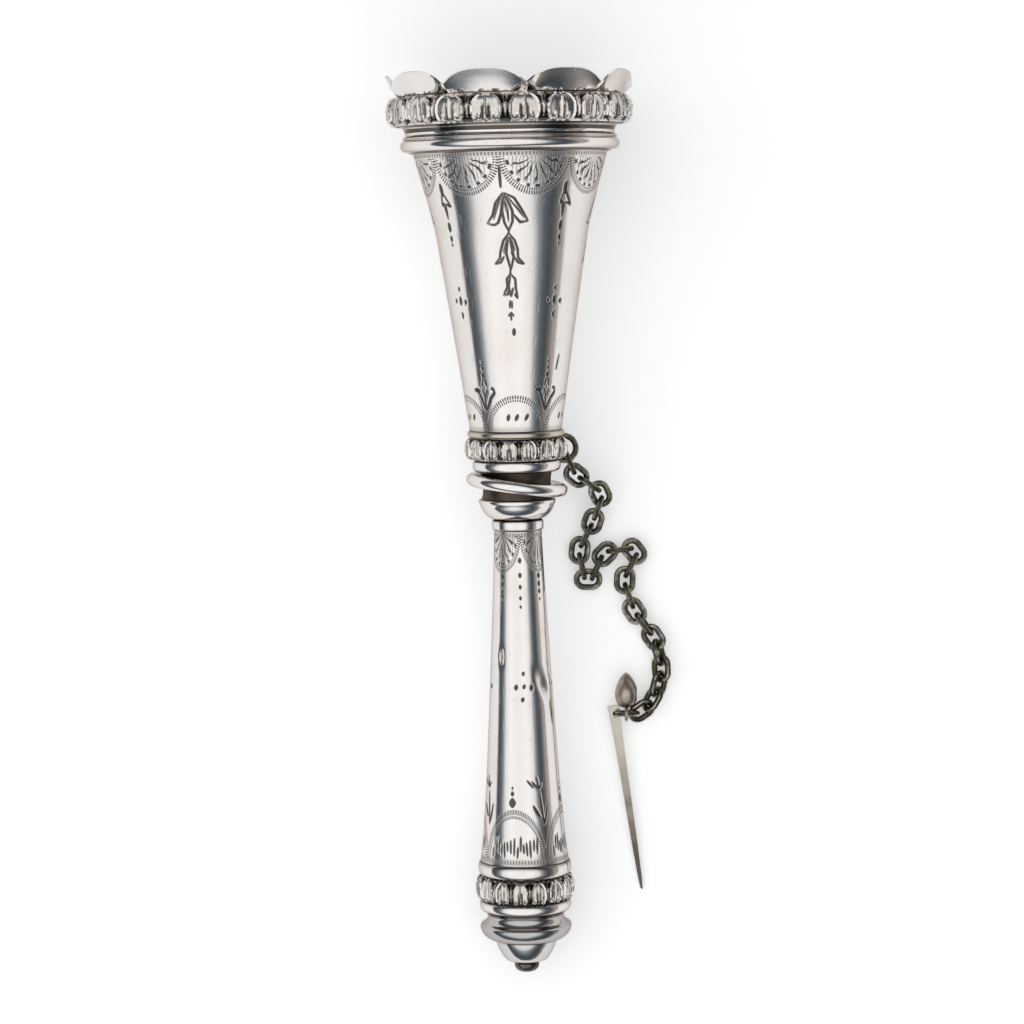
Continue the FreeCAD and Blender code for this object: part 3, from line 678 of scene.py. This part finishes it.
class Graver:
    """Strokes cut into a turned piece, kept as how deep inside a stroke each point lies."""

    def __init__(self, piece):
        self.angle, self.radius, self.height = round_the_axis(piece)
        self.depth = np.full(len(self.angle), -1.0)

    def stroke(self, where, points, width):
        """Cut along points, (across, up) in mm from where, (angle, height), fading to its ends."""
        turn = (self.angle - where[0] + 180) % 360 - 180
        across = np.radians(turn) * self.radius
        up = self.height - where[1]
        path = np.array(points, float)
        near = ((across > path[:, 0].min() - 1) & (across < path[:, 0].max() + 1)
                & (up > path[:, 1].min() - 1) & (up < path[:, 1].max() + 1))
        here = np.stack([across[near], up[near]], 1)
        lengths = np.hypot(*np.diff(path, axis=0).T)
        done, total = 0.0, lengths.sum()
        best = np.full(len(here), -1.0)
        for start, end, length in zip(path, path[1:], lengths):
            run = end - start
            along = np.clip((here - start) @ run / (length * length), 0, 1)
            away = np.hypot(*(here - start - along[:, None] * run).T)
            share = (done + along * length) / total
            half = width / 2 * (0.35 + 0.65 * np.sqrt(np.clip(np.sin(math.pi * share), 0, 1)))
            best = np.maximum(best, half - away)
            done += length
        self.depth[near] = np.maximum(self.depth[near], best)

    def strokes(self, where, width, *lines):
        for line in lines:
            self.stroke(where, line, width)

    def dot(self, angle, height, width, length=None, slant=0.0):
        half = (length or width) / 2
        self.stroke((angle, height), [(-slant, half), (slant, -half)], width * 1.35)

    def cut_into(self, piece, depth, outside):
        """Sink the strokes into the outer wall and mark them for the finish."""
        shares = np.where(outside, self.depth, -1.0)
        mark(piece, "cut", np.clip(shares / 0.36, -1, 1) * 0.5 + 0.5)
        press(piece, -depth, smooth(shares, -0.12, 0.12))


def cut_bell_string(graver, angle):
    """Three bell flowers, each smaller than the last, a small bud and a dart."""
    graver.stroke((angle, 131.0), [(0.0, 0.4), (0.1, -3.0)], 0.34)
    where = (angle + 1.8, 127.2)
    graver.strokes(where, 0.30,
                   [(-0.1, 0.0), (-1.3, -1.6), (-1.8, -3.4), (-2.8, -4.8)],
                   [(-2.8, -4.8), (-1.6, -5.0), (-1.0, -4.7), (-0.5, -3.3), (-0.2, -1.2)],
                   [(0.0, -0.2), (-0.3, -2.8), (0.0, -4.6), (0.65, -6.0)],
                   [(0.1, -0.2), (0.9, -1.7), (1.35, -2.9), (1.3, -4.5), (0.65, -6.0)],
                   [(0.1, 0.0), (1.7, -0.8), (2.8, -2.6), (3.8, -4.5)],
                   [(3.8, -4.5), (2.5, -4.6), (1.5, -3.4)])
    graver.strokes(where, 0.18, [(-0.4, -0.5), (-1.2, -2.8)], [(0.1, -0.5), (0.4, -3.0)],
                   [(0.6, -0.6), (2.1, -2.4), (3.2, -3.9)], [(-0.7, -1.2), (-1.7, -4.2)],
                   [(0.5, -1.6), (0.7, -4.6)])
    where = (angle + 4.7, 120.9)
    graver.strokes(where, 0.27,
                   [(0.0, 0.5), (0.0, 0.0), (-0.9, -1.2), (-1.4, -3.0), (-1.5, -3.9),
                    (-2.3, -4.8)],
                   [(-2.3, -4.8), (-1.4, -4.6), (-0.8, -3.6)],
                   [(-0.1, -0.6), (-0.5, -3.1), (0.2, -5.8)],
                   [(0.1, -0.6), (0.7, -3.7), (0.2, -5.8)],
                   [(0.0, 0.0), (0.9, -1.1), (1.35, -2.5), (1.4, -3.9), (2.4, -4.9)],
                   [(2.4, -4.9), (1.4, -4.6), (0.8, -3.8)])
    graver.strokes(where, 0.18, [(-0.2, -0.8), (-0.9, -3.0)], [(0.3, -0.8), (0.9, -2.8)])
    graver.dot(where[0] - 2.4, where[1] - 3.1, 0.26, 0.5)
    graver.dot(where[0] + 2.4, where[1] - 3.1, 0.26, 0.5)
    where = (angle + 5.2, 114.5)
    graver.strokes(where, 0.25, [(0.0, 0.8), (0.0, 0.0), (-0.6, -0.8), (-0.5, -2.0), (-1.2, -3.4)],
                   [(0.0, 0.0), (0.75, -0.8), (0.8, -2.3), (1.1, -3.9)],
                   [(0.0, -0.3), (-0.35, -1.9), (0.0, -3.6)], [(0.0, -3.6), (0.4, -2.2)],
                   [(-1.2, -3.4), (-0.5, -3.3), (-0.2, -2.2)], [(1.1, -3.9), (0.6, -3.2)])
    where = (angle + 5.0, 110.3)
    graver.strokes(where, 0.20, [(-0.12, 0.0), (-0.2, -1.2)], [(0.15, -0.1), (0.15, -1.3)],
                   [(0.0, -1.8), (0.0, -3.2)], [(0.0, -1.9), (-0.45, -2.5)],
                   [(0.0, -1.9), (0.45, -2.5)])
    graver.dot(angle + 7.2, 105.3, 0.34, 1.0)


def cut_dot_string(graver, angle):
    """A small flower, a fading row of dots and a cross of dots."""
    where = (angle, 128.3)
    graver.stroke(where, [(0.0, 0.5), (0.0, -1.3)], 0.75)
    graver.strokes(where, 0.30, [(-0.2, -1.1), (-0.7, -2.9)], [(0.2, -1.0), (1.5, -3.1)],
                   [(1.5, -3.1), (0.4, -2.6)], [(-0.7, -2.9), (-0.1, -2.5)],
                   [(-0.2, -2.6), (0.1, -5.0)], [(0.3, -2.6), (0.1, -5.0)])
    for height, width, length in ((122.0, 0.52, 1.3), (120.2, 0.40, 0.8), (119.2, 0.28, 0.35),
                                  (112.2, 0.32, 0.6), (110.3, 0.48, 1.2), (108.0, 0.32, 0.9)):
        graver.dot(angle, height, width, length)
    graver.dot(angle - 6.5, 110.3, 0.36, 0.6)
    graver.dot(angle + 6.5, 110.1, 0.36, 0.6)


def cut_fleur(graver, angle):
    """A split leaf with curled tips and three dots above it."""
    for height, width, length in ((100.6, 0.30, 0.35), (99.5, 0.36, 0.45), (98.4, 0.42, 0.7)):
        graver.dot(angle, height, width, length)
    where = (angle, 97.9)
    graver.strokes(where, 0.28, [(-0.1, 0.0), (-0.45, -1.4)], [(0.15, 0.0), (0.5, -1.4)],
                   [(-0.5, -1.6), (-0.1, -2.6), (0.0, -4.8)], [(0.5, -1.7), (0.2, -2.8)])
    graver.strokes(where, 0.42, [(-2.0, -1.9), (-1.2, -2.1), (-0.8, -3.1), (-0.1, -5.2)],
                   [(1.7, -1.7), (1.75, -2.4), (1.0, -3.2), (0.1, -5.2)],
                   [(-2.0, -1.8), (-1.4, -1.7), (-0.9, -2.0)], [(1.7, -1.7), (1.2, -1.6)])


CONE_FOOT, CONE_BEND, CONE_LIP = (7.45, 89.3), (12.4, 121.8), (15.6, 133.7)
CONE_WALL = 0.5


def cone_outline():
    """The cone's outer outline: two hollow curves, eased into each other."""
    heights = np.linspace(CONE_FOOT[1], CONE_LIP[1], 175)
    low = (heights - CONE_FOOT[1]) / (CONE_BEND[1] - CONE_FOOT[1])
    high = (heights - CONE_BEND[1]) / (CONE_LIP[1] - CONE_BEND[1])
    below = CONE_FOOT[0] + (CONE_BEND[0] - CONE_FOOT[0]) * low - 0.2 * low * (1 - low)
    above = CONE_BEND[0] + (CONE_LIP[0] - CONE_BEND[0]) * high - 0.2 * high * (1 - high)
    radii = np.where(low < 1, below, above)
    kernel = np.hanning(33) / np.hanning(33).sum()
    eased = np.convolve(np.pad(radii, 16, mode="reflect", reflect_type="odd"), kernel, "valid")
    return list(zip(eased.tolist(), heights.tolist()))


def make_cone():
    outer = cone_outline()
    inner = [(r - CONE_WALL, h) for r, h in outer[::9]]
    inner.append((outer[-1][0] - CONE_WALL, outer[-1][1]))
    mouth_tube = [(17.4, 138.7), (17.4, 142.7), (MOUTH_RADIUS, 142.7), (MOUTH_RADIUS, 138.9)]
    section = outer + mouth_tube + inner[::-1] + [outer[0]]
    piece = turned("cone_engraved", section, 440)
    _, radius, height = round_the_axis(piece)
    wall = np.interp(height, [h for r, h in outer], [r for r, h in outer])
    outside = radius > wall - CONE_WALL / 2
    graver = Graver(piece)
    for quarter in range(4):
        cut_bell_string(graver, -7.0 + 90 * quarter)
        cut_dot_string(graver, 38.0 + 90 * quarter)
    for fifth in range(5):
        cut_fleur(graver, 36.5 + 72 * fifth)
        for turn, slant in ((-9.0, 0.10), (1.0, 0.16), (13.0, 0.22)):
            graver.dot(0.5 + 72 * fifth + turn, 91.6, 0.34, 0.85, -slant)
    graver.stroke((49.0, 99.5), [(0.25, 2.0), (-0.2, -0.4)], 0.26)
    # Darker towards both ends of the outer wall, and evenly darker over the whole inner wall.
    grime_and_shade = smooth(height, 132.3, 133.6) * 0.7 + smooth(-height, -90.6, -89.4) * 0.8
    mark(piece, "grime_and_shade", np.where(outside, grime_and_shade, 0.5))
    graver.cut_into(piece, 0.07, outside)
    holder_piece(piece, "cone", ENGRAVED_CONE, 50)


HANDLE_OUTLINE = [(7.2, 18.8), (6.85, 21.6), (6.5, 25.6), (6.05, 31.4), (5.4, 42.0),
                  (4.8, 53.0), (4.25, 63.5), (3.85, 72.9)]


def make_handle():
    heights = np.linspace(18.8, 72.9, 216)
    radii = np.interp(heights, [h for r, h in HANDLE_OUTLINE], [r for r, h in HANDLE_OUTLINE])
    kernel = np.hanning(23) / np.hanning(23).sum()
    eased = np.convolve(np.pad(radii, 11, mode="reflect", reflect_type="odd"), kernel, "valid")
    piece = turned("handle_engraved", list(zip(eased.tolist(), heights.tolist())), 260,
                   ROD_CLEARANCE)
    angle, radius, height = round_the_axis(piece)
    outside = radius > ROD_CLEARANCE + 1
    graver = Graver(piece)
    for quarter in range(4):
        joint, low = 2.5 + 90 * quarter, 49.5 + 90 * quarter
        for level, width in ((68.3, 0.36), (65.9, 0.34), (64.0, 0.28), (62.2, 0.25), (60.8, 0.2)):
            graver.dot(joint, level, width, width * 1.8)
        for level, width in ((65.7, 0.44), (64.4, 0.42), (63.2, 0.36), (61.9, 0.2)):
            graver.dot(low, level, width, width * 1.7)
        for turn, level, width in ((2.0, 50.0, 0.30), (-12.0, 47.8, 0.42), (3.0, 47.9, 0.34),
                                   (17.0, 47.7, 0.44), (0.0, 45.8, 0.36)):
            graver.dot(joint + turn, level, width, width * 1.6, -0.08)
        foot = 30.5 + 90 * quarter
        graver.stroke((foot, 25.3), [(-0.5, 5.4), (0.0, 0.0)], 0.34)
        graver.stroke((foot, 25.3), [(-1.7, 3.2), (-0.6, 1.2)], 0.5)
        graver.stroke((foot, 25.3), [(0.8, 3.4), (0.5, 1.6), (0.1, 0.2)], 0.34)
        graver.strokes((foot - 6.0, 31.2), 0.28, [(0.0, 0.0), (-0.3, 2.0)],
                       [(-0.1, 0.0), (-1.1, 1.3)], [(0.1, 0.0), (0.6, 1.0)],
                       [(-0.9, 0.3), (-1.9, 1.5)])
        for level, width in ((31.5, 0.22), (30.6, 0.4), (29.1, 0.8)):
            graver.dot(foot - 47.5, level, width, width * 1.4)
        for blade in range(15):
            swing = 4.6 * (blade - 7)
            tall = 1.5 + 1.3 * (blade * 7 % 5) / 4
            graver.stroke((foot + 45 + swing, 20.2 + (blade * 3 % 4) * 0.35),
                          [(0.0, 0.0), (0.12 * math.sin(blade), tall)], 0.24)
    # The dents and the nick get a painted shadow, written into the darkening attribute beside
    # their pressed hollows.
    dents = np.exp(-((angle - 46) / 15) ** 2 - ((height - 48.0 + (angle - 46) * 0.09) / 1.7) ** 2)
    nick = np.exp(-((angle + 40) / 5) ** 2 - ((height - 52.6) / 1.3) ** 2)
    grime_and_shade = smooth(height, 70.2, 72.6) * 0.7 + smooth(-height, -21.0, -19.0) * 0.8
    mark(piece, "grime_and_shade", np.clip(np.where(outside, grime_and_shade + dents * 0.95 + nick, 0), 0, 1))
    graver.cut_into(piece, 0.06, outside)
    press(piece, -0.4, np.where(outside, dents + nick * 0.5, 0))
    holder_piece(piece, "handle_tube", ENGRAVED_HANDLE, 50)


# ------------------------------------------------------------------ rings, chain, bud and pin

def lie_of(node):
    """Middle of a CAD node and its long, wide and thin directions."""
    mesh = frame["nodes"][node].data
    mesh.calc_loop_triangles()
    places = np.array([v.co for v in mesh.vertices], float)
    corners = np.array([t.vertices for t in mesh.loop_triangles])
    a, b, c = (places[corners[:, i]] for i in range(3))
    area = np.linalg.norm(np.cross(b - a, c - a), axis=1)
    centres = (a + b + c) / 3
    middle = (centres * area[:, None]).sum(0) / area.sum()
    spread = ((centres - middle) * area[:, None]).T @ (centres - middle)
    directions = np.linalg.eigh(spread)[1].T
    thin, wide, long_way = (Vector(d) for d in directions)
    return Vector(middle), long_way, wide, thin


def place_of(node):
    """A matrix that lays local +Y along the node's long direction and +Z along its thin one."""
    middle, long_way, wide, thin = lie_of(node)
    wide = long_way.cross(thin)
    return Matrix.Translation(middle) @ Matrix((wide, long_way, thin)).transposed().to_4x4()


def wire_loop(name, radius, wire, straight=0.0, around=56, groove=0.0, flat=1.0):
    """A closed loop of wire in the XY plane, with an optional groove along both faces."""
    bpy.ops.object.select_all(action="DESELECT")
    bpy.ops.mesh.primitive_torus_add(major_segments=around, minor_segments=20,
                                     major_radius=radius * MM, minor_radius=wire / 2 * MM)
    piece = bpy.context.active_object
    piece.name = piece.data.name = name
    x, y, z = points_of(piece).T
    out = np.hypot(x, y) - radius
    face = np.degrees(np.arctan2(np.abs(z), out))
    mark(piece, "rub", smooth(np.abs(z), wire * 0.12, wire * 0.42) * 0.5 + smooth(out, 0, wire / 2)
         * 0.45)
    if groove:
        press(piece, -groove, np.exp(-((face - 84) / 17) ** 2))
    if straight:
        edit()
        bpy.ops.mesh.select_all(action="DESELECT")
        leave()
        for sign in (1, -1):
            for vertex in piece.data.vertices:
                vertex.select = vertex.co.y * sign > 0.01 * MM or (
                    sign > 0 and abs(vertex.co.y) <= 0.01 * MM)
            only(piece)
            edit()
            bpy.ops.transform.translate(value=(0, sign * straight / 2 * MM, 0))
            bpy.ops.mesh.select_all(action="DESELECT")
            leave()
    if flat != 1.0:
        edit()
        bpy.ops.mesh.select_all(action="SELECT")
        bpy.ops.transform.resize(value=(1, 1, flat))
        leave()
    return piece


def copy_of(piece, name):
    twin = piece.copy()
    twin.data = piece.data.copy()
    twin.name = twin.data.name = name
    bpy.context.scene.collection.objects.link(twin)
    return twin


LINK_LENGTH, LINK_WIDTH, LINK_WIRE = 4.8, 3.6, 1.0


def make_chain():
    pattern = wire_loop("chain_link_pattern", (LINK_WIDTH - LINK_WIRE) / 2, LINK_WIRE,
                        LINK_LENGTH - LINK_WIDTH, groove=0.10)
    links = sorted(n for n in frame["nodes"] if n.startswith("chain_link_"))
    for node in links:
        finish_piece(copy_of(pattern, node + "_oval"), place_of(node), [node], node,
                     CHAIN_SILVER, 60)
    bpy.data.objects.remove(pattern)
    finish_piece(wire_loop("chain_lug_ring", 2.0, 1.0), place_of("chain_lug"), ["chain_lug"],
                 "holder", CHAIN_SILVER, 60)
    finish_piece(wire_loop("jump_ring_loop", 1.9, 0.8, around=48), place_of("jump_ring"),
                 ["jump_ring"], "jump_ring", CHAIN_SILVER, 60)
    finish_piece(wire_loop("neck_ring_loose", 7.2, 2.16, around=160, flat=0.96),
                 place_of("loose_ring"), ["loose_ring"], "loose_ring",
                 POLISHED, 60)


BUD_LOOP_RADIUS, BUD_LOOP_WIRE = 0.95, 0.55
BUD_BACK = 1.62             # where the bud's flattened side lies, from its middle


def make_bud():
    foot, length = 1.09, 6.0
    shape = [(0.0, foot), (0.55, foot), (1.2, foot + 0.35), (1.72, foot + 1.05),
             (1.94, foot + 2.3), (1.72, foot + 3.5), (1.1, foot + 4.9), (0.35, foot + 5.8),
             (0.0, foot + length)]
    bud = turned("bud_drop_almond", soften(shape, 3), 64)
    edit()
    bpy.ops.mesh.select_all(action="SELECT")
    bpy.ops.mesh.bisect(plane_co=(BUD_BACK * MM, 0, 0), plane_no=(1, 0, 0), use_fill=True,
                        clear_outer=True)
    leave()
    apply_modifier(bud, "BEVEL", width=0.22 * MM, segments=4, limit_method="ANGLE",
                   angle_limit=math.radians(35))
    loop = wire_loop("bud_loop_pattern", BUD_LOOP_RADIUS, BUD_LOOP_WIRE, around=32)
    edit()
    bpy.ops.mesh.select_all(action="SELECT")
    bpy.ops.transform.rotate(value=math.pi / 2, orient_axis="Y", center_override=(0, 0, 0))
    leave()
    only(bud)
    loop.select_set(True)
    bpy.ops.object.join()
    middle, along = lie_of("bud_drop")[:2]
    ring = lie_of("jump_ring")[0]
    if along.dot(middle - ring) < 0:
        along = -along
    side = (ACROSS - along * along.x).normalized()
    turn = Matrix((side, along.cross(side), along)).transposed()
    vertices = frame["nodes"]["bud_drop"].data.vertices
    lowest = min((v.co - middle).dot(along) for v in vertices)
    pivot = middle + along * (lowest + (BUD_LOOP_RADIUS + BUD_LOOP_WIRE / 2) * MM)
    finish_piece(bud, Matrix.Translation(pivot) @ turn.to_4x4(), ["bud_drop"], "bud_drop",
                 BUD_SILVER, 40)


# The pin's width at distances from its head, both in mm.
PIN_WIDTHS = [(0.0, 1.95), (0.35, 2.1), (0.75, 1.95), (1.35, 1.86), (3.0, 1.74), (6.0, 1.52),
              (10.5, 1.30), (17.0, 1.12), (24.0, 0.90), (29.0, 0.62), (31.0, 0.34)]
PIN_THICKNESS = 0.8


def make_pin():
    bpy.ops.object.select_all(action="DESELECT")
    bpy.ops.mesh.primitive_plane_add(size=MM)
    pin = bpy.context.active_object
    pin.name = pin.data.name = "stem_pin_blade"
    edit()
    bpy.ops.transform.rotate(value=math.pi / 2, orient_axis="X", center_override=(0, 0, 0))
    bpy.ops.transform.resize(value=(PIN_WIDTHS[0][1], 1, PIN_THICKNESS))
    for (at, width), (next_at, next_width) in zip(PIN_WIDTHS, PIN_WIDTHS[1:]):
        bpy.ops.mesh.extrude_region_move(
            TRANSFORM_OT_translate={"value": (0, (next_at - at) * MM, 0)})
        thin = 1.0 if next_at < 20 else 0.86
        bpy.ops.transform.resize(value=(next_width / width, 1, thin),
                                 center_override=(0, next_at * MM, 0))
    tidy_mesh()
    leave()
    bpy.ops.mesh.primitive_cylinder_add(vertices=40, radius=0.6 * MM, depth=3 * MM,
                                        location=(0, 1.35 * MM, 0))
    drill = bpy.context.active_object
    apply_modifier(pin, "BOOLEAN", operation="DIFFERENCE", object=drill, solver="EXACT")
    bpy.data.objects.remove(drill)
    apply_modifier(pin, "BEVEL", width=0.16 * MM, segments=3, limit_method="ANGLE",
                   angle_limit=math.radians(40))
    middle, along, _, thin = lie_of("stem_pin")
    if along.dot(middle - lie_of("jump_ring")[0]) < 0:
        along = -along
    vertices = frame["nodes"]["stem_pin"].data.vertices
    head = min((v.co - middle).dot(along) for v in vertices)
    turn = Matrix((along.cross(thin), along, thin)).transposed().to_4x4()
    finish_piece(pin, Matrix.Translation(middle + along * head) @ turn, ["stem_pin"], "stem_pin",
                 PIN_SILVER, 40)


make_turned_pieces()
make_leaf_bands()
make_petals()
make_cone()
make_handle()
make_chain()
make_bud()
make_pin()

for hidden in ("cone_floor", "tie_rod", "rod_washer", "rod_nut"):
    for holder_slot in frame["nodes"][hidden].material_slots:
        holder_slot.material = INNER_SILVER
